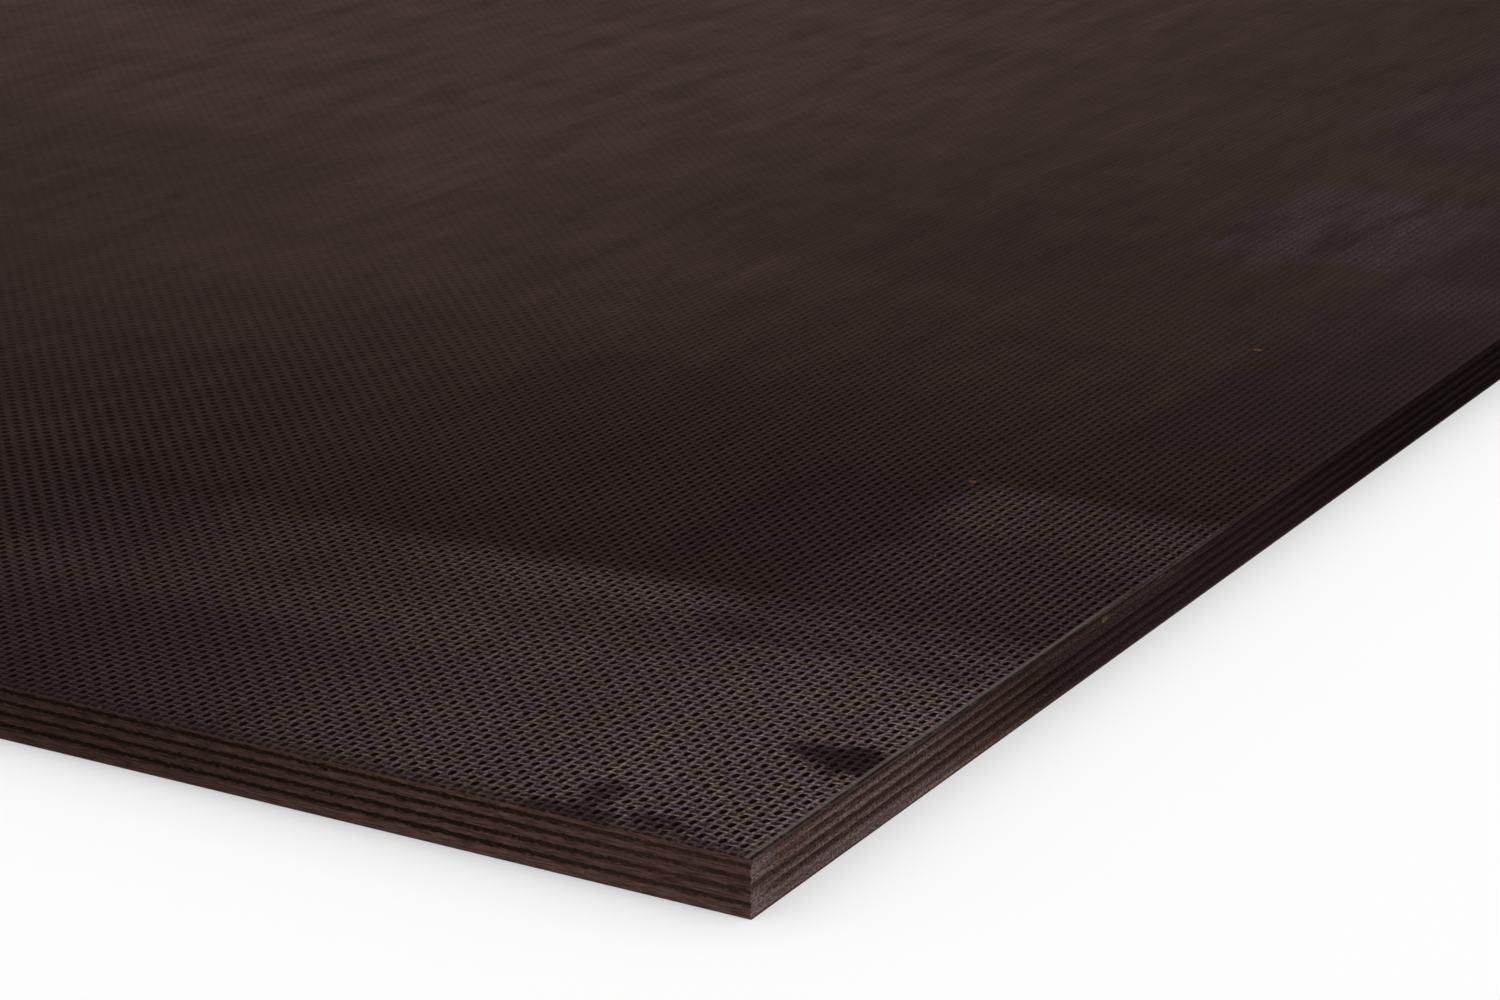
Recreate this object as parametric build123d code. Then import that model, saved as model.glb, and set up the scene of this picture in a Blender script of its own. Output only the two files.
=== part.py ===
from build123d import *
import os

# Mesh-faced plywood sheet: nine veneers glued crosswise between two phenolic films.
# Millimetres. +X runs along the sheet and its face grain, +Y across it, +Z up out of the
# mesh face. The origin is under the middle of the sheet, on the surface it lies on.

# Sheet size, over the mesh film at the two ends and over the veneers at the two long sides
SHEET_LENGTH = 2500.0
SHEET_WIDTH = 1250.0

# Layer thicknesses, each as it shows on the sawn edges
SMOOTH_FILM = 0.3
BOTTOM_FACE_VENEER = 1.95
CROSS_VENEER = 1.1
LONG_VENEER = 1.4
TOP_FACE_VENEER = 0.85
MESH_FILM = 0.3

# The saw leaves the tough mesh film standing proud of the wood at the two ends
MESH_FILM_OVERHANG = 0.3

# A veneer's end grain soaks up the edge paint and dries a little below its neighbours' long grain
END_GRAIN_SETBACK = 0.12

# Sanding takes the sharp arris off the outer films along the long sides
ARRIS_EASE = 0.2

# The ends of the wood lie under the film's overhang
WOOD_LENGTH = SHEET_LENGTH - 2 * MESH_FILM_OVERHANG


def slab(base, thickness, length, width):
    """One flat layer, centred on the origin in plan, with its underside at the height base."""
    centred_on_its_underside = (Align.CENTER, Align.CENTER, Align.MIN)
    return Pos(0, 0, base) * Box(length, width, thickness, align=centred_on_its_underside)


def long_veneer(base, thickness):
    """A veneer with its grain along X, so its end grain stands back at the two ends."""
    return slab(base, thickness, WOOD_LENGTH - 2 * END_GRAIN_SETBACK, SHEET_WIDTH)


def cross_veneer(base, thickness):
    """A veneer with its grain along Y, so its end grain stands back at the two long sides."""
    return slab(base, thickness, WOOD_LENGTH, SHEET_WIDTH - 2 * END_GRAIN_SETBACK)


def eased_film(base, thickness, length, outer_side):
    """A face film whose outer arrises along the two long sides are eased."""
    film = slab(base, thickness, length, SHEET_WIDTH)
    outer_face = film.faces().sort_by(Axis.Z)[outer_side]
    return chamfer(outer_face.edges().filter_by(Axis.X), min(ARRIS_EASE, thickness / 2))


def smooth_film(base, thickness):
    """The bottom film, trimmed level with the wood at the ends."""
    return eased_film(base, thickness, WOOD_LENGTH, outer_side=0)


def mesh_film(base, thickness):
    """The top film, over the full length of the sheet."""
    return eased_film(base, thickness, SHEET_LENGTH, outer_side=-1)


# The lay-up, from the underside to the mesh face
LAY_UP = [
    ("smooth_film", smooth_film, SMOOTH_FILM),
    ("bottom_face_veneer", long_veneer, BOTTOM_FACE_VENEER),
    ("bottom_cross_veneer", cross_veneer, CROSS_VENEER),
    ("lower_long_veneer", long_veneer, LONG_VENEER),
    ("lower_cross_veneer", cross_veneer, CROSS_VENEER),
    ("core_veneer", long_veneer, LONG_VENEER),
    ("upper_cross_veneer", cross_veneer, CROSS_VENEER),
    ("upper_long_veneer", long_veneer, LONG_VENEER),
    ("top_cross_veneer", cross_veneer, CROSS_VENEER),
    ("top_face_veneer", long_veneer, TOP_FACE_VENEER),
    ("mesh_film", mesh_film, MESH_FILM),
]


def build_sheet():
    """Stack the lay-up from the underside, each layer on the one below it."""
    layers = {}
    height = 0.0
    for name, make_layer, thickness in LAY_UP:
        layers[name] = make_layer(height, thickness)
        height += thickness
    return layers


os.makedirs("parts", exist_ok=True)
for name, layer in build_sheet().items():
    export_step(layer, f"parts/{name}.step")
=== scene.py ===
import math
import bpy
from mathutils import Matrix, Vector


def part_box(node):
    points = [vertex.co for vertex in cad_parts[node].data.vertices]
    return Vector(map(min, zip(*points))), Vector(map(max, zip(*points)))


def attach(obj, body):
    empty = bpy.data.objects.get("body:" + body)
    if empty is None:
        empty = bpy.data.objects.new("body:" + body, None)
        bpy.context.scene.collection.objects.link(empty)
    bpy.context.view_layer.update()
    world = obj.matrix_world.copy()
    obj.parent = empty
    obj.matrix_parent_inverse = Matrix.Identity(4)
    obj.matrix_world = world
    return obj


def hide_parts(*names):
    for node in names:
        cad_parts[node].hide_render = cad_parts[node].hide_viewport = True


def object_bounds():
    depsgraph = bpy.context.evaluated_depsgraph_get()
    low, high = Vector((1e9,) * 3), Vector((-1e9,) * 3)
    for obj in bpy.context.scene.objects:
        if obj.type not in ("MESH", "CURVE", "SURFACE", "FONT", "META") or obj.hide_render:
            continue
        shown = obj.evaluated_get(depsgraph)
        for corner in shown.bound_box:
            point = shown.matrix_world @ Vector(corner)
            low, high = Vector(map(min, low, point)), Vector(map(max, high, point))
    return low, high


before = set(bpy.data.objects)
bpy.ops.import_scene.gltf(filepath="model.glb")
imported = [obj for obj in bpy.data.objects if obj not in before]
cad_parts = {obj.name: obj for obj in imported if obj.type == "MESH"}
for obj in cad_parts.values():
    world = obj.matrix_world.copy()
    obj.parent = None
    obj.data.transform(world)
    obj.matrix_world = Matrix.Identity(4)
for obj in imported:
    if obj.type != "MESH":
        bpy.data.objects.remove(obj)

from types import SimpleNamespace
from typing import NamedTuple

import bmesh
import bpy
import numpy as np
from bpy.props import FloatProperty, FloatVectorProperty, IntProperty, PointerProperty
from bpy.types import Operator, Panel, PropertyGroup
from mathutils import Vector

bl_info = {
    "name": "Mesh-faced plywood sheet",
    "version": (1, 0, 0),
    "blender": (4, 5, 0),
    "location": "3D View > Sidebar > Plywood",
    "description": "Dresses the sheet with its mesh imprint, edge paint and studio",
    "category": "Object",
}

MM = 0.001
# How near two places in metres are taken as the same
SAME_PLACE = 1e-6
# The eased arris of the mesh film, and the least of the film under the deepest hollow
ARRIS = 0.15 * MM
LEAST_FILM = 0.04 * MM
# Bump heights of the fine grain
FILM_GRIT = 0.03 * MM
FILM_PEEL = 0.01 * MM
FILM_WAVES = 0.02 * MM
FLOOR_SPECKS = 0.01 * MM
END_FUZZ = 0.30 * MM
END_CLUMPS = 0.20 * MM
SIDE_STREAKS = 0.10 * MM
SAW_MARKS = 0.05 * MM

DULL_ROUGHNESS = 0.9
WHITE = (1.0, 1.0, 1.0, 1.0)

SHEET_LOW, SHEET_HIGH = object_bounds()
FILM_LOW, FILM_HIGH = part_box("mesh_film")
NEAR_END = SHEET_HIGH.x
NEAR_SIDE = SHEET_LOW.y
LONG_VENEERS = (
    "bottom_face_veneer",
    "lower_long_veneer",
    "core_veneer",
    "upper_long_veneer",
    "top_face_veneer",
)
CROSS_VENEERS = (
    "bottom_cross_veneer",
    "lower_cross_veneer",
    "upper_cross_veneer",
    "top_cross_veneer",
)


# Arithmetic that works alike on numbers, arrays and material values


class Value:
    """A number that varies over a surface. Python arithmetic on it adds Math nodes."""

    def __init__(self, finish, socket):
        self.finish = finish
        self.socket = socket

    def math(self, operation, *others, swap=False):
        terms = [self, *others]
        if swap:
            terms.reverse()
        made = self.finish.node("ShaderNodeMath", {"operation": operation}, dict(enumerate(terms)))
        return Value(self.finish, made.outputs[0])

    def __add__(self, other):
        return self.math("ADD", other)

    __radd__ = __add__

    def __mul__(self, other):
        return self.math("MULTIPLY", other)

    __rmul__ = __mul__

    def __sub__(self, other):
        return self.math("SUBTRACT", other)

    def __rsub__(self, other):
        return self.math("SUBTRACT", other, swap=True)

    def __truediv__(self, other):
        return self.math("DIVIDE", other)

    def __rtruediv__(self, other):
        return self.math("DIVIDE", other, swap=True)

    def __pow__(self, other):
        return self.math("POWER", other)


def sine(a):
    return a.math("SINE") if isinstance(a, Value) else np.sin(a)


def floor(a):
    return a.math("FLOOR") if isinstance(a, Value) else np.floor(a)


def absolute(a):
    return a.math("ABSOLUTE") if isinstance(a, Value) else np.abs(a)


def larger(a, b):
    return a.math("MAXIMUM", b) if isinstance(a, Value) else np.maximum(a, b)


def rise(a, low, high):
    """0 below low, 1 above high, and a smooth step between. It falls where low is above high."""
    if isinstance(a, Value):
        made = a.finish.node(
            "ShaderNodeMapRange",
            {"interpolation_type": "SMOOTHSTEP"},
            {"Value": a, "From Min": low, "From Max": high, "To Min": 0.0, "To Max": 1.0},
        )
        return Value(a.finish, made.outputs[0])
    t = np.clip((a - low) / (high - low), 0.0, 1.0)
    return t * t * (3.0 - 2.0 * t)


def band(a, low, high, soft):
    """1 between low and high, fading over the width soft at both. None leaves that end open."""
    if low is None:
        return rise(a, high + soft / 2, high - soft / 2)
    if high is None:
        return rise(a, low - soft / 2, low + soft / 2)
    return rise(a, low - soft / 2, low + soft / 2) * rise(a, high + soft / 2, high - soft / 2)


def turned_to(facing):
    """1 where a surface faces along an axis, either way, by that part of its direction."""
    return rise(absolute(facing), 0.4, 0.6)


class Finish:
    """A material or a world while it is made, and the one way its nodes are added."""

    def __init__(self, owner):
        owner.use_nodes = True
        self.owner = owner
        self.tree = owner.node_tree
        self.tree.nodes.clear()

    def node(self, kind, settings=None, inputs=None):
        """A node of a kind, its settings made first and then the values or links of its sockets."""
        made = self.tree.nodes.new(kind)
        for name, value in (settings or {}).items():
            setattr(made, name, value)
        for key, value in (inputs or {}).items():
            if isinstance(value, Value):
                self.tree.links.new(value.socket, made.inputs[key])
            elif isinstance(value, bpy.types.NodeSocket):
                self.tree.links.new(value, made.inputs[key])
            else:
                made.inputs[key].default_value = value
        return made

    def place(self):
        """Object coordinates in metres, as three values."""
        where = self.node("ShaderNodeTexCoord")
        parts = self.node("ShaderNodeSeparateXYZ", inputs={"Vector": where.outputs["Object"]})
        return [Value(self, parts.outputs[axis]) for axis in range(3)]

    def facing(self):
        """The direction that the surface faces, as three values."""
        where = self.node("ShaderNodeTexCoord")
        parts = self.node("ShaderNodeSeparateXYZ", inputs={"Vector": where.outputs["Normal"]})
        return [Value(self, parts.outputs[axis]) for axis in range(3)]

    def noise(self, x, y, z, detail=2.0, roughness=0.5):
        """Noise about one unit large, from 0 to 1, read at the given place."""
        at = self.node("ShaderNodeCombineXYZ", inputs={"X": x, "Y": y, "Z": z})
        made = self.node(
            "ShaderNodeTexNoise",
            {"noise_dimensions": "3D"},
            {"Vector": at.outputs[0], "Scale": 1.0, "Detail": detail, "Roughness": roughness},
        )
        return Value(self, made.outputs[0])

    def tint(self, colour, amount):
        """A colour made lighter or darker by a value."""
        made = self.node(
            "ShaderNodeVectorMath", {"operation": "SCALE"}, {"Vector": as_vector(colour), "Scale": amount}
        )
        return made.outputs[0]

    def sum(self, one, other):
        """Two colours added up."""
        made = self.node(
            "ShaderNodeVectorMath", {"operation": "ADD"}, {0: as_vector(one), 1: as_vector(other)}
        )
        return made.outputs[0]

    def blend(self, one, other, share):
        """From one colour, at share 0, to the other, at share 1."""
        made = self.node(
            "ShaderNodeMix", {"data_type": "RGBA"}, {0: share, 6: as_paint(one), 7: as_paint(other)}
        )
        return made.outputs[2]

    def bump(self, height):
        """The normal of a surface that stands the given height, in metres, off its mesh."""
        made = self.node("ShaderNodeBump", inputs={"Strength": 1.0, "Distance": 1.0, "Height": height})
        return made.outputs["Normal"]

    def shader(self, colour, roughness, normal, specular):
        """The one surface shader, of even roughness."""
        made = self.node(
            "ShaderNodeBsdfPrincipled",
            inputs={
                "Base Color": as_paint(colour),
                "Roughness": roughness,
                "Normal": normal,
                "Specular IOR Level": specular,
            },
        )
        return made.outputs[0]

    def close_dull(self, colour, normal):
        """The finished material, with a dull surface."""
        surface = self.shader(colour, DULL_ROUGHNESS, normal, specular=0.0)
        self.node("ShaderNodeOutputMaterial", inputs={"Surface": surface})
        return self.owner

    def close_satin(self, colour, gloss, normal, roughness=0.45):
        """The finished material, dull with a share of gloss that varies over it."""
        dull = self.shader(colour, DULL_ROUGHNESS, normal, specular=0.0)
        glossy = self.shader(colour, roughness, normal, specular=0.5)
        surface = self.node("ShaderNodeMixShader", inputs={0: gloss, 1: dull, 2: glossy})
        self.node("ShaderNodeOutputMaterial", inputs={"Surface": surface.outputs[0]})
        return self.owner


def new_finish(name):
    return Finish(bpy.data.materials.new(name))


def as_vector(colour):
    return colour if isinstance(colour, bpy.types.NodeSocket) else tuple(colour)[:3]


def as_paint(colour):
    return colour if isinstance(colour, bpy.types.NodeSocket) else (*tuple(colour)[:3], 1.0)


# Settings that a user would change


def length(name, description, default):
    """A setting in metres, its default given in millimetres."""
    return FloatProperty(
        name=name, description=description, default=default * MM, precision=5, unit="LENGTH"
    )


def colour(name, description, default):
    return FloatVectorProperty(
        name=name, description=description, default=default, subtype="COLOR", size=3, min=0.0, max=1.0
    )


class MeshImprintSettings(PropertyGroup):
    pitch_along: length("Pitch along", "Spacing of the wire crossings along the sheet", 2.246)
    pitch_across: length("Pitch across", "Spacing of the wire crossings across the sheet", 2.323)
    depth: length("Depth", "How deep the wires press into the film", 0.24)
    rim: length("Rim", "Width of the smooth rim at the sawn ends", 1.5)
    cells_along: IntProperty(
        name="Cells along", description="Cells of one relief panel along the sheet", default=66
    )
    cells_across: IntProperty(
        name="Cells across", description="Cells of one relief panel across the sheet", default=39
    )
    steps: IntProperty(name="Steps", description="Mesh steps over one cell", default=6)
    brown_film: colour("Brown film", "Phenolic film on the ridges", (0.0335, 0.0186, 0.0143))
    plum_film: colour("Plum film", "Cooler film in blotches", (0.031, 0.0166, 0.0180))
    # The hollow colour is painted shade in the hollows of the imprint
    hollow: colour("Hollow", "Phenolic film in the hollows", (0.0065, 0.0025, 0.0023))
    # The mauve and olive colours below are pale wear with a painted sheen on the ridges
    mauve_wear_and_sheen: colour("Mauve haze", "Cooler wear on the ridges", (0.091, 0.0628, 0.0700))
    olive_wear_and_sheen: colour("Olive haze", "Warmer wear on the ridges", (0.092, 0.0675, 0.0595))
    crumb: colour("Crumb", "Grains of sawdust that lie on the film", (0.190, 0.085, 0.028))
    # The rim colour is rubbed film with a painted highlight
    rubbed_rim_highlight: colour("Rim", "Rubbed rim of the film at the sawn ends", (0.086, 0.067, 0.058))


class EdgePaintSettings(PropertyGroup):
    side_light: colour("Side, long grain", "Paint over long grain at the sides", (0.056, 0.0290, 0.0243))
    side_dark: colour("Side, end grain", "Paint over end grain at the sides", (0.019, 0.0088, 0.0042))
    end_light: colour("End, long grain", "Paint over long grain at the ends", (0.105, 0.071, 0.068))
    end_brown: colour("End, brown paint", "Browner paint at the ends", (0.105, 0.0600, 0.0500))
    end_dark: colour("End, end grain", "Paint over end grain at the ends", (0.029, 0.0128, 0.0094))
    end_plum: colour("End, thick paint", "Thicker and cooler paint at the ends", (0.105, 0.0590, 0.0630))
    end_mauve: colour("End, chalky paint", "Chalky patches at the ends", (0.100, 0.0680, 0.0800))
    end_spot: colour("End, spot", "Yellowish spots at the ends", (0.110, 0.0750, 0.0380))
    end_red: colour("End, red wood", "Redder wood that shows through at the ends", (0.075, 0.036, 0.030))
    # The arris colour is rubbed paint with a painted highlight on the standing arrises
    arris_rub_and_highlight: colour("Arris", "Rubbed paint on the standing arrises", (0.175, 0.125, 0.112))
    # The torn colour is the dark torn edge with painted shadow under the rim of the film
    torn_edge_and_shadow: colour("Torn", "Bare dark edge under the rim of the film", (0.0085, 0.0038, 0.0026))


class SmoothFilmSettings(PropertyGroup):
    film: colour("Film", "Smooth phenolic film", (0.034, 0.018, 0.014))
    roughness: FloatProperty(
        name="Roughness", description="Roughness of the smooth film", default=0.33, min=0.0, max=1.0,
        subtype="FACTOR",
    )


class StudioSettings(PropertyGroup):
    floor_half: FloatProperty(
        name="Floor", description="Half the side of the floor", default=150.0, unit="LENGTH"
    )
    floor_colour: colour("Floor colour", "Pale floor", (0.97, 0.97, 0.97))
    ambient: FloatProperty(name="Ambient", description="Light from all round", default=0.66, min=0.0)
    key: FloatProperty(name="Key", description="Strength of the soft key light", default=1.75, min=0.0)
    corner_right: FloatProperty(
        name="Corner from the left", description="The near corner in a picture 1500 wide", default=752.53
    )
    corner_down: FloatProperty(
        name="Corner from the top", description="The near corner in a picture 1000 high", default=859.12
    )
    corner_depth: length("Corner depth", "The near corner ahead of the camera", 687.28)
    focal_pixels: FloatProperty(
        name="Focal length", description="In pixels of a picture 1500 wide", default=3843.7
    )
    turn: FloatProperty(
        name="Turn", description="Camera turned left of straight across the sheet",
        default=math.radians(30.05), unit="ROTATION",
    )
    pitch: FloatProperty(
        name="Pitch", description="Camera tipped down", default=math.radians(18.273), unit="ROTATION"
    )


# The mesh imprint. Places and sizes in the looks are in millimetres from the near corner.

# Half the size of the hollows, across the sheet and along it
LONG_HOLLOW = (1.06, 0.54)
SHORT_HOLLOW = (0.52, 0.78)
# What it gains where the rows run into one another, and where they turn steep
MERGED_LONG = (0.15, -0.04)
MERGED_SHORT = (0.22, -0.11)
STEEPENED = (-0.22, 0.20)
# How far the wires sway from their straight lines
SWAY = 0.30
# The mesh's selvedge ends across the sheet here, and past it the smooth rim has its least width
SELVEDGE_GONE, SELVEDGE_WHOLE = 172, 140
LEAST_RIM = 0.3
# The margin over which the relief panels sink level with the rest
PANEL_MARGIN = 40.0
# How far below its top a panel's foot is first put, in metres, to tell the two apart
FOOT_DROP = 1.0


def half_size(axis, short, merged, steep):
    """Half a hollow's size, across the sheet for axis 0 and along it for axis 1."""
    long_one = LONG_HOLLOW[axis] + MERGED_LONG[axis] * merged
    short_one = SHORT_HOLLOW[axis] + MERGED_SHORT[axis] * merged
    return long_one + (short_one - long_one) * short + STEEPENED[axis] * steep


def crossing(across, along, imprint):
    """The nearest wire crossing, where the lower wire leaves a hollow in its own direction.

    The first value is 0 in the middle of the hollow and 1 at its rim. The second is 0 at the long hollows,
    which lie across the sheet, and 1 at the short ones between them, which lie along it. The third is how
    far the place is inland of the crossing.
    """
    pitch_along, pitch_across = imprint.pitch_along / MM, imprint.pitch_across / MM
    jitter = 0.10 * sine(across * 0.9 + along * 0.5) + 0.06 * sine(across * 1.7 - along * 1.3)
    row = (along + SWAY * sine(across / 53 + 1.9) + 0.5 * jitter) / pitch_along
    column = (across + SWAY * sine(along / 41 + 0.7) + jitter) / pitch_across
    nearest_row, nearest_column = floor(row + 0.5), floor(column + 0.5)
    from_row = (row - nearest_row) * pitch_along
    from_column = (column - nearest_column) * pitch_across
    turn = (nearest_row + nearest_column) * 0.5
    short = (turn - floor(turn)) * 2.0
    steep = rise(along, 180, 280)
    merged = rise(across, 105, 150) * (1.0 - steep)
    half_across = half_size(0, short, merged, steep)
    half_along = half_size(1, short, merged, steep)
    out = (from_column / half_across) ** 2.0 + (from_row / half_along) ** 2.0
    return out, short, from_column + from_row


def pressed(out, short, across, along):
    """How far the wires press into the film, from 0 on the ridges to 1 in the deepest hollows."""
    unevenness = 0.86 + 0.14 * sine(across * 0.83 + 2.0 * sine(along * 0.61))
    return larger(1.0 - out, 0.0) * (1.0 - 0.35 * short) * unevenness


def imprint_share(across, from_side, from_end, imprint):
    """How much of the imprint is left near the sawn edges, by the distances to them.

    The smooth rim at the ends gives out past the mesh's selvedge.
    """
    rim = LEAST_RIM + (imprint.rim / MM - LEAST_RIM) * rise(across, SELVEDGE_GONE, SELVEDGE_WHOLE)
    return rise(from_end - rim, 0.0, 0.9) * (0.70 + 0.30 * rise(from_side, 0.6, 4.5))


def film_top(x, y, imprint, inner_x, inner_y):
    """Heights of the relief over places in metres. It sinks level with the ridges at inner_x and inner_y."""
    along, across = (NEAR_END - x) / MM, (y - NEAR_SIDE) / MM
    kept = rise((x - inner_x) / MM, 0.0, PANEL_MARGIN) * rise((inner_y - y) / MM, 0.0, PANEL_MARGIN)
    share = imprint_share(across, across, along, imprint) * kept
    out, short, _ = crossing(across, along, imprint)
    eased = np.maximum(ARRIS / MM - across, 0.0) * MM
    top = FILM_HIGH.z - imprint.depth * pressed(out, short, across, along) * share - eased
    return np.maximum(top, FILM_LOW.z + LEAST_FILM)


def place_on_sheet(finish):
    """Millimetres across and along from the near corner, to the nearest side and end, and off the floor."""
    x, y, z = finish.place()
    across, along = (y - NEAR_SIDE) / MM, (NEAR_END - x) / MM
    from_side = (-NEAR_SIDE - absolute(y)) / MM
    from_end = (NEAR_END - absolute(x)) / MM
    return across, along, from_side, from_end, z / MM


# The looks of the mesh film

# How much pale wear and painted sheen each zone carries; the near zone also paints a pool of light
WEAR_AND_SHEEN = {
    "everywhere": 0.01,
    "near": 0.10,
    "near_wear_and_painted_light": 0.56,
    "near_close": 0.05,
    "near_end": 0.17,
    "near_rubbed": 0.08,
    "dull_strip": -0.06,
    "dull_strip_inland": -0.05,
    "olive_streak": 0.06,
    "plum_corner": -0.05,
    "shaded_strip": -0.29,
    "second": 0.19,
    "second_inland": -0.07,
    "cream": 0.13,
    "cream_middle": -0.09,
    "lilac_wisps": 0.14,
    "small_lilac": 0.08,
    "beyond": 0.04,
    "unseen": 0.18,
}

# How far each zone leans to the cooler film
PLUM_LEAN = {
    "everywhere": -0.16,
    "near": 0.17,
    "plum_corner": 0.12,
    "olive_streak": -0.10,
    "shaded_strip": 0.12,
    "second": 0.22,
    "cream": -0.10,
    "plum_patch": 0.24,
    "plum_end": 0.26,
    "far_plum": 0.25,
    "lilac": 0.35,
    "small_lilac": 0.35,
    "stain": 0.10,
}


class Patch(NamedTuple):
    """A lighter or darker patch of bare film. A reach is its low end, its high end and how wide it fades."""

    gain: float
    across: tuple
    along: tuple


TONE_PATCHES = (
    Patch(gain=-0.34, across=(74, 122, 25), along=(200, 310, 40)),
    Patch(gain=-0.20, across=(None, 19, 22), along=(155, None, 70)),
    Patch(gain=0.16, across=(160, 200, 20), along=(170, 230, 20)),
    Patch(gain=-0.14, across=(250, None, 80), along=(None, 50, 20)),
    Patch(gain=0.16, across=(45, 95, 15), along=(175, 230, 20)),
    Patch(gain=-0.20, across=(240, 430, 40), along=(385, None, 90)),
    Patch(gain=-0.10, across=(None, 230, 60), along=(230, 400, 30)),
    Patch(gain=0.10, across=(270, 360, 30), along=(70, 230, 40)),
    Patch(gain=-0.13, across=(380, 500, 35), along=(60, 320, 30)),
    Patch(gain=-0.12, across=(205, 370, 30), along=(237.5, None, 45)),
)


class Spot(NamedTuple):
    """An oval by its middle and half its size: across and along on the film, across and up on an end."""

    middle_a: float
    middle_b: float
    half_a: float
    half_b: float

    def out(self, a, b):
        """0 in the middle of the spot and 1 at its rim."""
        return ((a - self.middle_a) / self.half_a) ** 2.0 + ((b - self.middle_b) / self.half_b) ** 2.0


SMEARS = (Spot(12.5, 40.0, 6.0, 5.0), Spot(5.5, 22.0, 4.0, 6.0), Spot(2.5, 41.0, 4.5, 11.0))
CRUMBS = (Spot(215.0, 65.0, 0.949, 0.949), Spot(351.0, 51.0, 1.183, 1.183))


def film_grain(finish, across, along):
    """The noise of the film, from 0 to 1. The wide and fine ones are about 0, to shift borders."""

    def grain(size_across, size_along, layer, detail, roughness=0.5):
        return finish.noise(across / size_across, along / size_along, layer, detail, roughness)

    return SimpleNamespace(
        wide_a=grain(26, 26, 3.0, 3.0) - 0.5,
        wide_b=grain(26, 26, 9.0, 3.0) - 0.5,
        fine_a=grain(5, 5, 1.0, 3.0) - 0.5,
        fine_b=grain(5, 5, 6.0, 3.0) - 0.5,
        cloud=grain(120, 160, 0.0, 4.0, 0.55),
        drift=grain(34, 210, 2.0, 4.0, 0.6),
        mottle=grain(8, 8, 5.0, 3.0, 0.6),
        streak=grain(42, 2.4, 0.0, 3.0, 0.6),
        wisp=grain(70, 13, 7.0, 4.0, 0.62),
        grit=grain(0.8, 0.9, 8.0, 3.0, 0.7),
    )


def film_zones(grain, across, along):
    """How far each zone of wear, colour and painted light covers a place, from 0 to 1."""
    ragged_across = across + grain.wide_a * 26 + grain.fine_a * 6
    ragged_along = along + grain.wide_b * 26 + grain.fine_b * 6
    waver = (grain.wide_b * 22 + grain.fine_b * 14) * rise(along, 80, 170)
    straight_across = across + grain.fine_a * 7 + grain.wide_a * 6 + waver

    # The near zone is lighter from wear and from a painted pool of light by the corner
    near = rise(straight_across, 126, 111) * rise(ragged_along, 330, 190)
    dull_strip = near * band(across, 80, 108, 10) * rise(along, 125, 95)
    second = band(straight_across, 119, 214, 7) * rise(ragged_along, 69, 57)
    cream = band(straight_across - along * 0.20, 172, 203, 16) * rise(along + grain.fine_b * 9, 68, 57)
    lilac = band(ragged_across, 442, 528, 24) * band(ragged_along, 50, 108, 16)
    return {
        "everywhere": 1.0,
        "near": near,
        "near_wear_and_painted_light": near * rise(along + grain.wide_a * 40, 190, 15),
        "near_close": near * rise(along, 60, 30),
        "near_end": near * rise(along, 16, 5),
        "near_rubbed": near * band(across, 20, 84, 14) * rise(along, 58, 44),
        "dull_strip": dull_strip,
        "dull_strip_inland": dull_strip * rise(along, 45, 80),
        "shaded_strip": band(straight_across, 97, 119, 6) * rise(ragged_along, 80, 62),
        "olive_streak": near * rise(ragged_across, 52, 74) * band(ragged_along, 90, 195, 40),
        "plum_corner": near * rise(ragged_across, 66, 48) * rise(ragged_along, 105, 140),
        "second": second,
        "second_inland": second * rise(along, 42, 60),
        "cream": cream,
        "cream_middle": cream * band(along, 18, 44, 8),
        "plum_patch": band(ragged_across, 140, 212, 14) * band(ragged_along, 62, 104, 14),
        "plum_end": rise(ragged_across, 225, 300) * rise(ragged_along, 62, 36),
        "far_plum": rise(across, 520, 640) * rise(along, 150, 100),
        "lilac": lilac,
        "lilac_wisps": lilac * rise(grain.wisp, 0.36, 0.60),
        "small_lilac": band(ragged_across, 408, 440, 14) * band(ragged_along, 10, 36, 12),
        "beyond": rise(across + 0.4 * larger(along - 120, 0.0), 150, 700),
        "unseen": rise(across + along * 0.8, 900, 1500) * rise(grain.cloud, 0.46, 0.62),
        "stain": film_stain(grain, across, along),
    }


def film_stain(grain, across, along):
    """The dark blot by the end, and the smears by the corner."""
    across = across + grain.fine_a * 9 + grain.wide_a * 8
    along = along + grain.fine_b * 9 + grain.wide_b * 8
    blot = absolute(across - 50) / 10.5 + absolute(along - 6.5) / 18.0
    stain = rise(blot, 1.20, 0.55)
    for smear in SMEARS:
        stain = larger(stain, rise(smear.out(across, along), 1.5, 0.3) * 0.75)
    return stain


def in_all(zones, weights):
    """What the zones give together, each by its weight."""
    return sum(zones[name] * weight for name, weight in weights.items())


def film_wear_and_sheen(grain, zones, out, painted_lip_highlight, from_side):
    """How much pale wear and painted sheen lies on the film, most of it on the ridges and their lips."""
    wear_and_sheen = in_all(zones, WEAR_AND_SHEEN) * (0.28 + 0.72 * rise(from_side, 0.0, 6.5)) * (1.0 - 0.92 * zones["stain"])
    # Bright specks on the grit are painted glints
    painted_glints = rise(grain.grit, 0.35, 0.67)
    wear_and_sheen = wear_and_sheen * (0.46 + 0.62 * grain.streak) * (0.06 + 1.90 * painted_glints) * (0.70 + 0.60 * grain.drift)
    # The crests of the ridges carry a painted highlight
    painted_crest_highlight = rise(out, 1.6, 3.6)
    return larger(wear_and_sheen * (0.66 + 0.34 * painted_crest_highlight + 0.80 * painted_lip_highlight), 0.0)


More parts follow.
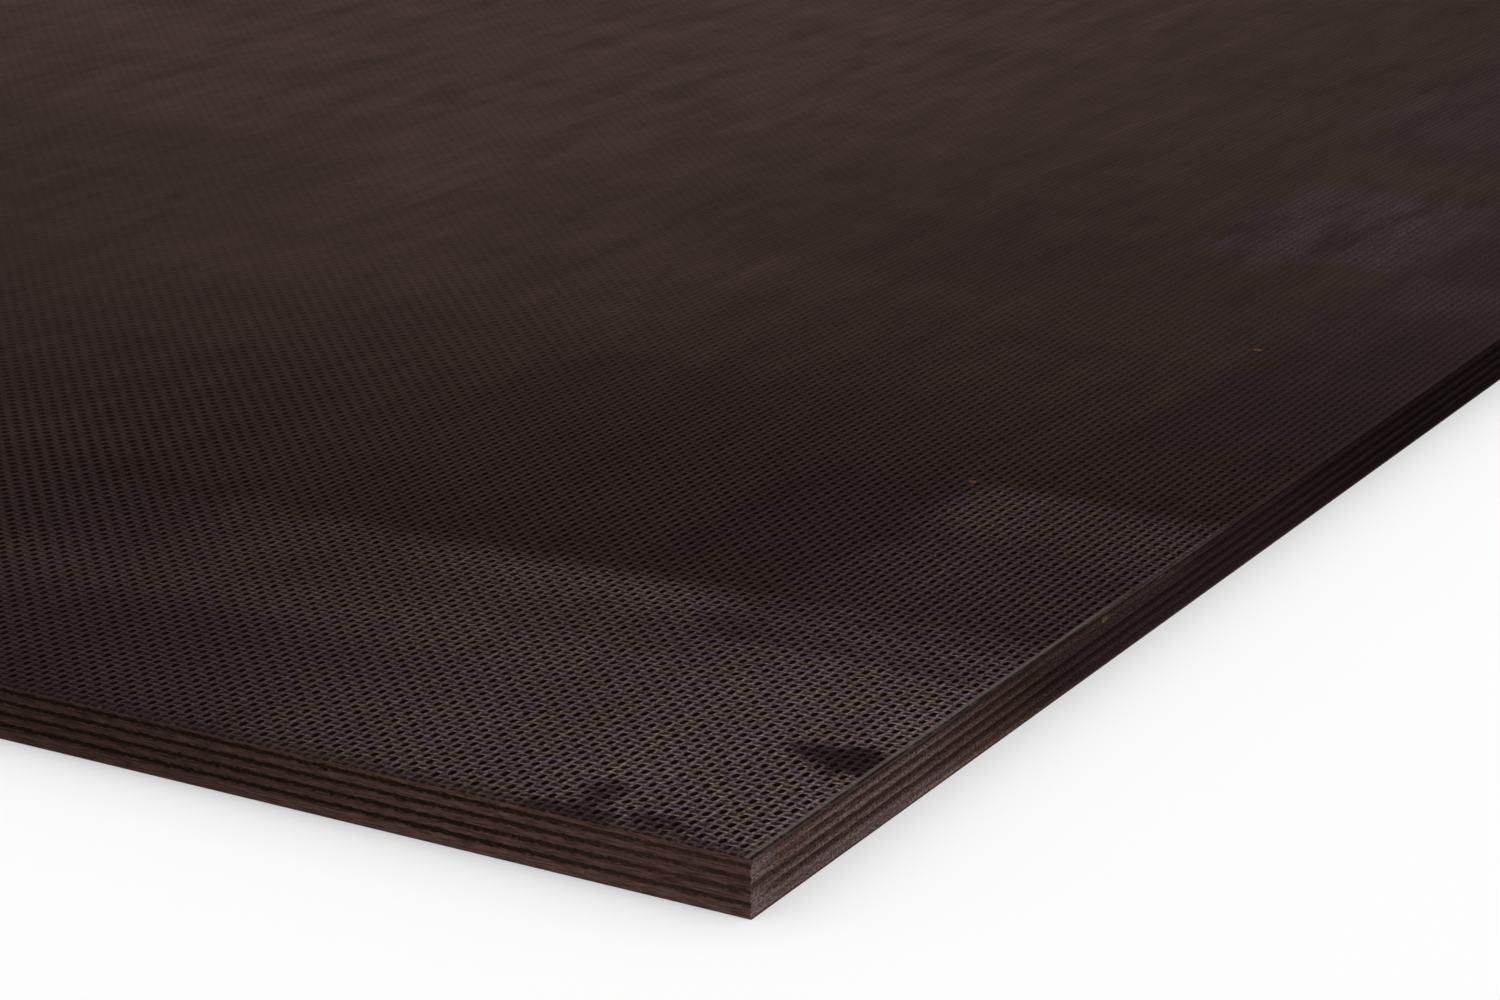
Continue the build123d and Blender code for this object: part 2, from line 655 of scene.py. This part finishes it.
def film_tone(grain, zones, across, along):
    """How light the bare film is, with a painted reflection that lightens it towards the far side."""
    beyond = zones["beyond"]
    # Towards the far side the film is painted lighter, as a reflection
    tone = 0.84 + 0.50 * rise(across, 200, 640) - 0.12 * rise(along, 30, 5)
    tone = tone + 0.70 * rise(along, 120, 360) * rise(across, 170, 330)
    wisps = 0.84 + (0.64 + 0.40 * beyond) * (grain.wisp - 0.5)
    tone = tone * (1.0 - 0.26 * beyond) * wisps * (0.84 + 0.32 * grain.mottle)
    tone = tone * (0.74 + 0.52 * grain.drift) * (0.80 + 0.40 * grain.streak) * (0.78 + 0.44 * grain.grit)
    tone = tone * (1.0 - 0.40 * zones["stain"])
    for patch in TONE_PATCHES:
        tone = tone * (1.0 + patch.gain * band(across, *patch.across) * band(along, *patch.along))
    return tone


def painted_hollow_shade(out, short, painted_lip_highlight, across, along):
    """How dark the painted shade in the hollows is. It grows faint with the distance from the corner, the
    short ones first.
    """
    fade = rise(across + 0.6 * larger(along - 120, 0.0), 165, 470)
    dark = rise(out + 0.25 * painted_lip_highlight, 2.8, 0.60) * (1.0 - 0.85 * fade)
    dark = dark * (1.0 - (0.30 + 0.60 * rise(along, 170, 290)) * short)
    return dark * (1.0 - 0.25 * rise(along, 160, 420))


def rim_and_litter(finish, top, grain, place, imprint, paint):
    """The rubbed rim at the ends with a painted highlight, the dark torn edge with painted shadow under it,
    two crumbs, and red flecks along the sides.
    """
    across, along, from_side, from_end = place
    rim_end = rise(across + grain.wide_a * 20, 166, 140)
    # The rubbed rim, with a painted highlight on it
    rubbed_rim_highlight = band(from_end + grain.fine_a * 0.5, 0.75, 1.75, 0.35) * rim_end
    top = finish.blend(top, imprint.rubbed_rim_highlight, rubbed_rim_highlight * (0.55 + 0.45 * rise(grain.grit, 0.35, 0.6)))
    # The dark torn edge under the rim, with painted shadow
    torn_edge_and_shadow = band(from_end + grain.fine_b * 0.5, -0.30, 0.80, 0.25) * rise(across + grain.fine_b * 30, 150, 128)
    top = finish.blend(top, paint.torn_edge_and_shadow, torn_edge_and_shadow * (0.72 + 0.28 * rise(grain.fine_a, -0.08, 0.04)))
    crumb, other_crumb = (rise(spot.out(across, along), 1.2, 0.5) for spot in CRUMBS)
    top = finish.blend(top, imprint.crumb, larger(crumb, other_crumb) * 0.42)
    fleck = finish.noise(along / 1.8, 2.0, 4.0, 2.0) * rise(from_side, 1.6, 0.2)
    return finish.blend(top, paint.end_red, rise(fleck, 0.58, 0.66) * 0.8)


def mesh_film_finish(imprint, paint):
    """Film with the imprint pressed in, worn and stained by the near corner, with painted shade in the
    hollows and painted sheen and highlights on the ridges.
    """
    finish = new_finish("mesh_film_finish")
    across, along, from_side, from_end, _ = place_on_sheet(finish)
    share = imprint_share(across, from_side, from_end, imprint)
    out, short, inland = crossing(across, along, imprint)
    # The lip is a painted highlight on the near side of each hollow; it also pushes the painted shade of the
    # hollows to their far side
    painted_lip_highlight = rise(inland, 0.0, -1.1) * rise(out, 0.7, 1.5)
    grain = film_grain(finish, across, along)
    zones = film_zones(grain, across, along)

    # Pale wear with a painted sheen on the ridges
    wear_and_sheen = film_wear_and_sheen(grain, zones, out, painted_lip_highlight, from_side)
    plum = rise(grain.mottle + in_all(zones, PLUM_LEAN), 0.47, 0.54)
    wear_and_sheen_film = finish.blend(imprint.olive_wear_and_sheen, imprint.mauve_wear_and_sheen, plum)
    bare_film = finish.blend(imprint.brown_film, imprint.plum_film, plum)
    tone = film_tone(grain, zones, across, along)
    ridge = finish.sum(finish.tint(wear_and_sheen_film, wear_and_sheen), finish.tint(bare_film, tone))
    # The hollows are darkened with painted shade
    dark = painted_hollow_shade(out, short, painted_lip_highlight, across, along) * share
    top = finish.blend(ridge, imprint.hollow, dark)
    top = rim_and_litter(finish, top, grain, (across, along, from_side, from_end), imprint, paint)

    facing_x, _, facing_z = finish.facing()
    is_top, on_end = turned_to(facing_z), turned_to(facing_x)
    side = finish.blend(paint.side_light, paint.end_light, on_end * rise(across, 150, 90))
    side_tone = (0.5 + 0.8 * grain.grit) * (1.0 - on_end * (0.52 + 0.30 * rise(across, 62, 92)))
    surface = finish.blend(finish.tint(side, side_tone), top, is_top)
    hollow = pressed(out, short, across, along)
    relief = (hollow * share * -imprint.depth + (grain.grit - 0.5) * FILM_GRIT) * is_top
    gloss = (1.0 - dark) * (0.05 + 0.10 * wear_and_sheen) * is_top
    return finish.close_satin(surface, gloss, finish.bump(relief))


def stand_for_mesh_film(piece, finish):
    """Puts a piece in the place of the mesh film's CAD node."""
    piece.data.materials.append(finish)
    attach(piece, "root")
    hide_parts("mesh_film")


def new_piece(name, bm):
    """The mesh as an object of the scene, at the origin."""
    mesh = bpy.data.meshes.new(name)
    bm.to_mesh(mesh)
    bm.free()
    piece = bpy.data.objects.new(name, mesh)
    bpy.context.scene.collection.objects.link(piece)
    return piece


def relief_panel(name, high_x, low_y, imprint, inner_x, inner_y):
    """A closed panel of the film whose top follows the imprint. It starts at high_x and low_y."""
    step_x, step_y = imprint.pitch_along / imprint.steps, imprint.pitch_across / imprint.steps
    count_x, count_y = imprint.cells_along * imprint.steps, imprint.cells_across * imprint.steps
    long_side, short_side = count_x * step_x, count_y * step_y
    bm = bmesh.new()
    bmesh.ops.create_grid(bm, x_segments=count_x, y_segments=count_y, size=0.5)
    bmesh.ops.scale(bm, vec=(long_side, short_side, 1.0), verts=bm.verts)
    middle = Vector((high_x - long_side / 2, low_y + short_side / 2, FILM_HIGH.z))
    bmesh.ops.translate(bm, vec=middle, verts=bm.verts)
    if abs(low_y - NEAR_SIDE) < SAME_PLACE:
        bmesh.ops.bisect_plane(
            bm,
            geom=bm.verts[:] + bm.edges[:] + bm.faces[:],
            plane_co=(0, NEAR_SIDE + ARRIS, 0),
            plane_no=(0, 1, 0),
        )
    outline = [edge for edge in bm.edges if edge.is_boundary]
    walls = bmesh.ops.extrude_edge_only(bm, edges=outline)["geom"]
    foot = [part for part in walls if isinstance(part, bmesh.types.BMVert)]
    bmesh.ops.translate(bm, vec=(0, 0, -FOOT_DROP), verts=foot)
    bmesh.ops.contextual_create(
        bm, geom=[part for part in walls if isinstance(part, bmesh.types.BMEdge) and part.is_boundary]
    )
    bmesh.ops.recalc_face_normals(bm, faces=bm.faces)
    piece = new_piece(name, bm)
    mesh = piece.data
    places = np.empty(len(mesh.vertices) * 3)
    mesh.vertices.foreach_get("co", places)
    places = places.reshape(-1, 3)
    on_top = places[:, 2] > FILM_HIGH.z - FOOT_DROP / 2
    tops = film_top(places[:, 0], places[:, 1], imprint, inner_x, inner_y)
    places[:, 2] = np.where(on_top, tops, FILM_LOW.z)
    mesh.vertices.foreach_set("co", places.ravel())
    mesh.update()
    level_the_shading(mesh)
    return piece


def level_the_shading(mesh):
    """Shades the top as level, so that the material's bump alone turns the light, there and on the rest."""
    normals = np.empty(len(mesh.polygons) * 3)
    mesh.polygons.foreach_get("normal", normals)
    normals = normals.reshape(-1, 3)
    faces_up = normals[:, 2] > 0.1
    normals[faces_up] = (0, 0, 1)
    counts = np.empty(len(mesh.polygons), dtype=np.int32)
    mesh.polygons.foreach_get("loop_total", counts)
    mesh.polygons.foreach_set("use_smooth", np.ones(len(mesh.polygons), dtype=bool))
    mesh.normals_split_custom_set(np.repeat(normals, counts, axis=0))


class PLYWOOD_OT_mesh_film(Operator):
    """Makes the mesh film: relief panels at the near corner and the level rest of the film"""

    bl_idname = "plywood.mesh_film"
    bl_label = "Mesh film"

    def execute(self, context):
        imprint, paint = context.scene.mesh_imprint, context.scene.edge_paint
        finish = mesh_film_finish(imprint, paint)
        panel_x = imprint.cells_along * imprint.pitch_along
        panel_y = imprint.cells_across * imprint.pitch_across
        inner_x, inner_y = NEAR_END - 2 * panel_x, NEAR_SIDE + 2 * panel_y
        for row in range(2):
            for column in range(2):
                panel = relief_panel(
                    f"mesh_film_relief_{row + 1}{column + 1}",
                    NEAR_END - column * panel_x,
                    NEAR_SIDE + row * panel_y,
                    imprint,
                    inner_x,
                    inner_y,
                )
                stand_for_mesh_film(panel, finish)
        rest = self.level_rest(inner_x, inner_y)
        stand_for_mesh_film(rest, finish)
        return {"FINISHED"}

    def level_rest(self, inner_x, inner_y):
        """The film beyond the relief panels, as one closed level piece."""
        bm = bmesh.new()
        corners = [
            (FILM_LOW.x, FILM_LOW.y),
            (inner_x, FILM_LOW.y),
            (inner_x, inner_y),
            (FILM_HIGH.x, inner_y),
            (FILM_HIGH.x, FILM_HIGH.y),
            (FILM_LOW.x, FILM_HIGH.y),
        ]
        outline = [bm.verts.new((x, y, FILM_LOW.z)) for x, y in corners]
        sheet = bm.faces.new(outline)
        raised = bmesh.ops.extrude_face_region(bm, geom=[sheet])["geom"]
        lifted = [part for part in raised if isinstance(part, bmesh.types.BMVert)]
        bmesh.ops.translate(bm, vec=(0, 0, FILM_HIGH.z - FILM_LOW.z), verts=lifted)
        bmesh.ops.recalc_face_normals(bm, faces=bm.faces)
        arrises = [
            edge
            for edge in bm.edges
            if all(self.on_outer_arris(v.co) for v in edge.verts)
            and abs(edge.verts[0].co.y - edge.verts[1].co.y) < SAME_PLACE
        ]
        bmesh.ops.bevel(
            bm, geom=arrises, offset=ARRIS, affect="EDGES", segments=2, profile=0.5, material=-1
        )
        return new_piece("mesh_film_level", bm)

    def on_outer_arris(self, place):
        on_side = min(abs(place.y - FILM_LOW.y), abs(place.y - FILM_HIGH.y)) < SAME_PLACE
        return on_side and place.z > FILM_HIGH.z - SAME_PLACE


# The painted edges. Places are in millimetres from the near corner, heights in millimetres off the floor.

# The ply lines repeat at this spacing
LAY_UP = 2.5
END_SPOTS = (Spot(149.0, 10.5, 1.7, 0.8), Spot(178.0, 11.5, 2.0, 0.6))


def end_paint(finish, across, height, fuzz, clump, paint):
    """The colour of the ends: fresh and light by the corner, with a painted pool of light there, then
    browner, then plum and darker.
    """
    patch = finish.noise(across / 8, 9.0, height / 3.0, 3.0, 0.6)
    fibre = finish.noise(across / 9, 6.0, height / 0.45, 3.0, 0.6)
    waver = finish.noise(across / 10, 0.0, height / 2.5, 3.0) - 0.5
    # By the corner the ends are fresh paint and carry a painted pool of light
    fresh_and_lit = rise(across + waver * 24, 132, 40)
    brown = rise(across + waver * 30, 66, 92)
    upper = rise(height, 7.6, 8.8) * band(across, 118, 192, 22)
    plum = rise(across + (patch - 0.5) * 40, 112, 140) * rise(across, 900, 500) * (1.0 - 0.6 * upper)

    top_line = 9.58 + 0.47 * rise(across, 60, 140)
    ragged = ((clump - 0.5) * 0.9 + (fuzz - 0.5) * 0.5) * (1.0 - 0.6 * rise(across, 100, 160))
    lay = (top_line - height + waver * 0.5 + ragged) / LAY_UP
    under = lay - floor(lay)
    dark_line = rise(under, 0.0, 0.07) * rise(under, 1.0, 0.22) * (1.0 - 0.45 * upper)
    middle = band(height, 5.0, 7.3, 0.3)
    corner = rise(across + waver * 16, 12, 0)
    dark_line = dark_line * (1.0 - 0.5 * rise(height, 2.6, 1.9)) * (1.0 - corner * (1.0 - 0.8 * middle))

    # Lighter towards the corner: paint that varies and a painted pool of light
    tone = 0.088 + 0.16 * rise(across, 340, 140) + 0.72 * fresh_and_lit + 0.36 * rise(across, 450, 800)
    tone = tone * (1.0 - 0.26 * band(height, 4.9, 6.6, 0.5) * fresh_and_lit)
    tone = tone * (1.0 - 0.10 * band(across, 115, 225, 25)) * (1.0 + 0.38 * upper)
    tone = tone * (1.0 - 0.20 * rise(height, 9.7, 10.6) * fresh_and_lit)
    speckle = (0.24 + 1.52 * rise(fuzz, 0.30, 0.70)) * (0.66 + 0.68 * clump) * (0.74 + 0.52 * fibre)
    speckle = 1.0 + (speckle - 1.0) * (0.60 + 0.40 * rise(across, 240, 170))
    # The foot of the ends is painted lighter, as light bounced up from the floor
    foot = rise(height + (clump - 0.5) * 0.8, 1.25, 0.75)
    painted_floor_bounce = 1.0 + foot * (0.15 + 0.75 * band(across, 62, 130, 30))

    light = finish.blend(finish.blend(paint.end_light, paint.end_brown, brown), paint.end_plum, plum)
    dark = finish.blend(paint.end_dark, finish.tint(paint.end_plum, 0.40), plum)
    end = finish.blend(light, dark, dark_line)
    reddened = band(across + waver * 12, 8, 22, 6) * rise(height, 5.5, 7.5) * 0.55
    end = finish.blend(end, paint.end_red, larger(rise(patch, 0.60, 0.68) * 0.55 * fresh_and_lit, reddened))
    end = finish.blend(end, paint.end_mauve, rise(patch, 0.42, 0.35) * 0.5 * fresh_and_lit)
    end = finish.tint(end, tone * speckle * painted_floor_bounce)
    spot, other_spot = (rise(spot.out(across, height), 1.3, 0.3) for spot in END_SPOTS)
    return finish.blend(end, paint.end_spot, larger(spot, other_spot) * rise(fuzz, 0.30, 0.50) * 0.5)


def side_paint(finish, along, height, streak, saw, paint):
    """The colour of the sides: even brown bands, lighter over long grain, with fine streaks and saw marks.
    They are lighter by the corner, from paint that varies and a painted pool of light, and the bottom ply
    carries painted light from the floor.
    """
    ripple = finish.noise(along / 11, 2.0, height / 2.0, 3.0) - 0.5
    nick = finish.noise(along / 1.4, 3.0, height / 0.6, 3.0, 0.6) - 0.5
    pores = finish.noise(along / 1.2, 5.0, height / 0.40, 3.0, 0.6)
    dark_middle = 2.85 + 0.42 * rise(along, 45, 165)
    turns = (height + ripple * 0.4 + nick * 1.6 - dark_middle) * (2 * math.pi / LAY_UP)
    far_side = rise(along + ripple * 20, 14, 60)
    dark_band = rise(0.5 + 0.5 * sine(turns + math.pi / 2), 0.62 - 0.16 * far_side, 0.88)
    dark_band = dark_band * (0.70 + 0.30 * far_side) * rise(height, 0.9, 2.0)

    light_tone = (0.40 + 1.20 * rise(streak, 0.30, 0.70)) * (0.82 + 0.36 * saw)
    dark_tone = (0.35 + 1.3 * rise(pores, 0.30, 0.70)) * (0.68 + 0.08 * rise(along, 60, 130))
    light, dark = finish.tint(paint.side_light, light_tone), finish.tint(paint.side_dark, dark_tone)
    # The bottom ply is painted lighter, as light bounced up from the floor, and the sides are lighter by the
    # corner from paint that varies and a painted pool of light
    bottom_ply = rise(height, 2.6, 2.0)
    tone = (0.56 + 0.44 * rise(along + ripple * 30, 165, 40)) * (1.0 + bottom_ply * 0.27)
    return finish.tint(finish.blend(light, dark, dark_band), tone)


def painted_edge_finish(name, paint):
    """Edge paint over the veneers, rough at the ends and streaked at the sides."""
    finish = new_finish(name)
    across, along, from_side, from_end, height = place_on_sheet(finish)
    on_end = turned_to(finish.facing()[0])
    fuzz = finish.noise(across / 0.80, 4.0, height / 0.42, 3.0, 0.65)
    clump = finish.noise(across / 2.6, 4.0, height / 0.80, 3.0, 0.6)
    streak = finish.noise(along / 5, 7.0, height / 0.34, 4.0, 0.65)
    saw = finish.noise(along / 0.9, 1.0, height / 8, 2.0)
    end = end_paint(finish, across, height, fuzz, clump, paint)
    side = side_paint(finish, along, height, streak, saw, paint)

    # The standing arrises carry rubbed paint and a painted highlight
    arris_wear_and_highlight = rise(from_end + from_side + (clump - 0.5) * 0.7, 0.55, 0.1)
    surface = finish.blend(finish.blend(side, end, on_end), paint.arris_rub_and_highlight, arris_wear_and_highlight * 0.8)
    rough_end = (fuzz - 0.5) * END_FUZZ + (clump - 0.5) * END_CLUMPS
    rough_side = (streak - 0.5) * SIDE_STREAKS + (saw - 0.5) * SAW_MARKS
    relief = rough_side + (rough_end - rough_side) * on_end
    gloss = 0.04 - 0.031 * on_end * rise(across, 95, 140)
    return finish.close_satin(surface, gloss, finish.bump(relief))


class PLYWOOD_OT_edge_paint(Operator):
    """Gives the veneers their painted edges"""

    bl_idname = "plywood.edge_paint"
    bl_label = "Edge paint"

    def execute(self, context):
        paint = context.scene.edge_paint
        for veneers, name in ((LONG_VENEERS, "long_grain_paint"), (CROSS_VENEERS, "cross_grain_paint")):
            finish = painted_edge_finish(name, paint)
            for veneer in veneers:
                coat(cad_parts[veneer], finish)
        return {"FINISHED"}


def coat(node, finish):
    """Gives a CAD node the finish in every slot."""
    slots = node.data.materials
    if slots:
        for index in range(len(slots)):
            slots[index] = finish
    else:
        slots.append(finish)


# The smooth film underneath


def smooth_film_finish(settings, paint):
    """Glossy film with a slight peel, and edge paint on its edge."""
    finish = new_finish("smooth_film_finish")
    across, along, _, _, _ = place_on_sheet(finish)
    cloud = finish.noise(across / 90, along / 140, 0.0, 4.0)
    peel = finish.noise(across / 1.8, along / 1.8, 0.0, 2.0)
    grain = finish.noise(across / 3, along / 120, 0.0, 3.0)
    face = finish.tint(settings.film, 0.75 + 0.4 * cloud + 0.2 * grain)
    edge = finish.tint(paint.side_light, 0.8 + 0.4 * peel)
    is_face = turned_to(finish.facing()[2])
    surface = finish.blend(edge, face, is_face)
    relief = ((peel - 0.5) * FILM_PEEL + (grain - 0.5) * FILM_WAVES) * is_face
    gloss = 0.04 + (0.70 + 0.30 * cloud) * is_face
    return finish.close_satin(surface, gloss, finish.bump(relief), settings.roughness)


class PLYWOOD_OT_smooth_film(Operator):
    """Gives the smooth film its gloss and its painted edge"""

    bl_idname = "plywood.smooth_film"
    bl_label = "Smooth film"

    def execute(self, context):
        finish = smooth_film_finish(context.scene.smooth_film, context.scene.edge_paint)
        coat(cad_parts["smooth_film"], finish)
        return {"FINISHED"}


# The studio


class PLYWOOD_OT_studio(Operator):
    """Makes the pale floor, the soft light and the camera"""

    bl_idname = "plywood.studio"
    bl_label = "Studio"

    speck_size = 1 / 900
    key_spread = math.radians(50)
    towards_key = Vector((0.74, -0.20, 0.64))
    picture_width, picture_height, sensor_width = 1500, 1000, 36.0

    def execute(self, context):
        studio = context.scene.studio
        self.lay_floor(studio)
        self.light_all_round(context.scene, studio)
        self.hang_key_light(studio)
        self.set_camera(context.scene, studio)
        context.scene.view_settings.view_transform = "Standard"
        return {"FINISHED"}

    def lay_floor(self, studio):
        bm = bmesh.new()
        bmesh.ops.create_grid(bm, x_segments=1, y_segments=1, size=studio.floor_half)
        floor_piece = new_piece("floor", bm)
        finish = new_finish("floor_finish")
        x, y, _ = finish.place()
        speck = finish.noise(x / self.speck_size, y / self.speck_size, 0.0, 2.0)
        surface = finish.tint(studio.floor_colour, 0.995 + 0.01 * speck)
        level = finish.bump((speck - 0.5) * FLOOR_SPECKS)
        floor_piece.data.materials.append(finish.close_dull(surface, level))

    def light_all_round(self, scene, studio):
        """A white sky that lights the scene at its own level and shows at full strength where it is seen."""
        scene.world = bpy.data.worlds.new("studio_world")
        sky = Finish(scene.world)
        path = sky.node("ShaderNodeLightPath")
        direct, mirrored, through = (
            Value(sky, path.outputs[f"Is {kind} Ray"]) for kind in ("Camera", "Glossy", "Transmission")
        )
        seen = larger(larger(direct, mirrored), through)
        light = sky.node("ShaderNodeBackground", inputs={"Color": WHITE, "Strength": studio.ambient})
        backdrop = sky.node("ShaderNodeBackground", inputs={"Color": WHITE, "Strength": 1.0})
        either = sky.node(
            "ShaderNodeMixShader", inputs={0: seen, 1: light.outputs[0], 2: backdrop.outputs[0]}
        )
        sky.node("ShaderNodeOutputWorld", inputs={"Surface": either.outputs[0]})

    def hang_key_light(self, studio):
        lamp = bpy.data.lights.new("key_light", "SUN")
        lamp.energy = studio.key
        lamp.angle = self.key_spread
        key_light = bpy.data.objects.new("key_light", lamp)
        key_light.rotation_euler = self.towards_key.to_track_quat("Z", "Y").to_euler()
        key_light.location = self.towards_key * 3
        bpy.context.scene.collection.objects.link(key_light)

    def set_camera(self, scene, studio):
        level_ahead = Vector((-math.sin(studio.turn), math.cos(studio.turn), 0.0))
        forward = level_ahead * math.cos(studio.pitch) - Vector((0.0, 0.0, math.sin(studio.pitch)))
        rightward = Vector((math.cos(studio.turn), math.sin(studio.turn), 0.0))
        upward = rightward.cross(forward)
        off_right = (studio.corner_right - self.picture_width / 2) / studio.focal_pixels
        off_up = (self.picture_height / 2 - studio.corner_down) / studio.focal_pixels
        to_corner = studio.corner_depth * (forward + off_right * rightward + off_up * upward)
        data = bpy.data.cameras.new("camera")
        data.sensor_width = self.sensor_width
        data.lens = studio.focal_pixels * self.sensor_width / self.picture_width
        data.clip_start, data.clip_end = 0.02, 500.0
        camera = bpy.data.objects.new("camera", data)
        camera.location = Vector((NEAR_END, NEAR_SIDE, SHEET_HIGH.z)) - to_corner
        camera.rotation_euler = forward.to_track_quat("-Z", "Y").to_euler()
        scene.collection.objects.link(camera)
        scene.camera = camera


STEPS = (PLYWOOD_OT_mesh_film, PLYWOOD_OT_edge_paint, PLYWOOD_OT_smooth_film, PLYWOOD_OT_studio)


class VIEW3D_PT_plywood(Panel):
    """The steps that dress the sheet, in order"""

    bl_label = "Plywood sheet"
    bl_space_type = "VIEW_3D"
    bl_region_type = "UI"
    bl_category = "Plywood"

    def draw(self, context):
        for step in STEPS:
            self.layout.operator(step.bl_idname)


SETTINGS = {
    "mesh_imprint": MeshImprintSettings,
    "edge_paint": EdgePaintSettings,
    "smooth_film": SmoothFilmSettings,
    "studio": StudioSettings,
}


def register():
    for name, group in SETTINGS.items():
        bpy.utils.register_class(group)
        setattr(bpy.types.Scene, name, PointerProperty(type=group))
    for part in (*STEPS, VIEW3D_PT_plywood):
        bpy.utils.register_class(part)


def unregister():
    for part in reversed((*STEPS, VIEW3D_PT_plywood)):
        bpy.utils.unregister_class(part)
    for name, group in SETTINGS.items():
        delattr(bpy.types.Scene, name)
        bpy.utils.unregister_class(group)


def main():
    register()
    bpy.ops.plywood.mesh_film()
    bpy.ops.plywood.edge_paint()
    bpy.ops.plywood.smooth_film()
    bpy.ops.plywood.studio()


if __name__ == "__main__":
    main()
